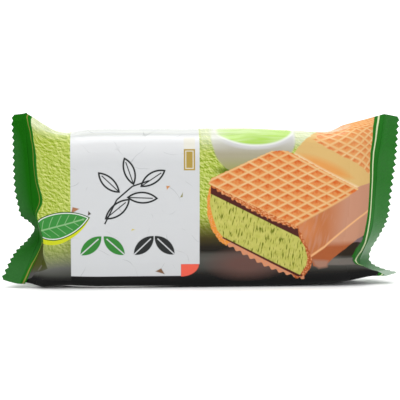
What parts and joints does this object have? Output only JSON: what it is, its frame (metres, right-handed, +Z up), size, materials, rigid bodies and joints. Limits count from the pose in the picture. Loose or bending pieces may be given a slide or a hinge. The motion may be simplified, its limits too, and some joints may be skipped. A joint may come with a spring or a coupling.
{
  "type": "ice cream sandwich pack",
  "caption": "Sealed flow-wrap film pack of a frozen wafer bar, standing on one long narrow side, with a crimped, zigzag-cut seal at each end and a long seam down the back.",
  "frame": {"origin": "on the ground, under the middle of the pack's box", "axes": "+X along the pack's length, to the right as the printed front is seen; +Y from the printed front to the back; +Z up from the long narrow side that it stands on"},
  "size_m": [0.186, 0.03, 0.0797],
  "materials": {
    "printed_film": "thin printed plastic film with a soft gloss, green at the end seals, lime, pale grey and black on the wide face"
  },
  "bodies": {
    "root": {"pack": "printed_film"}
  },
  "joints": []
}
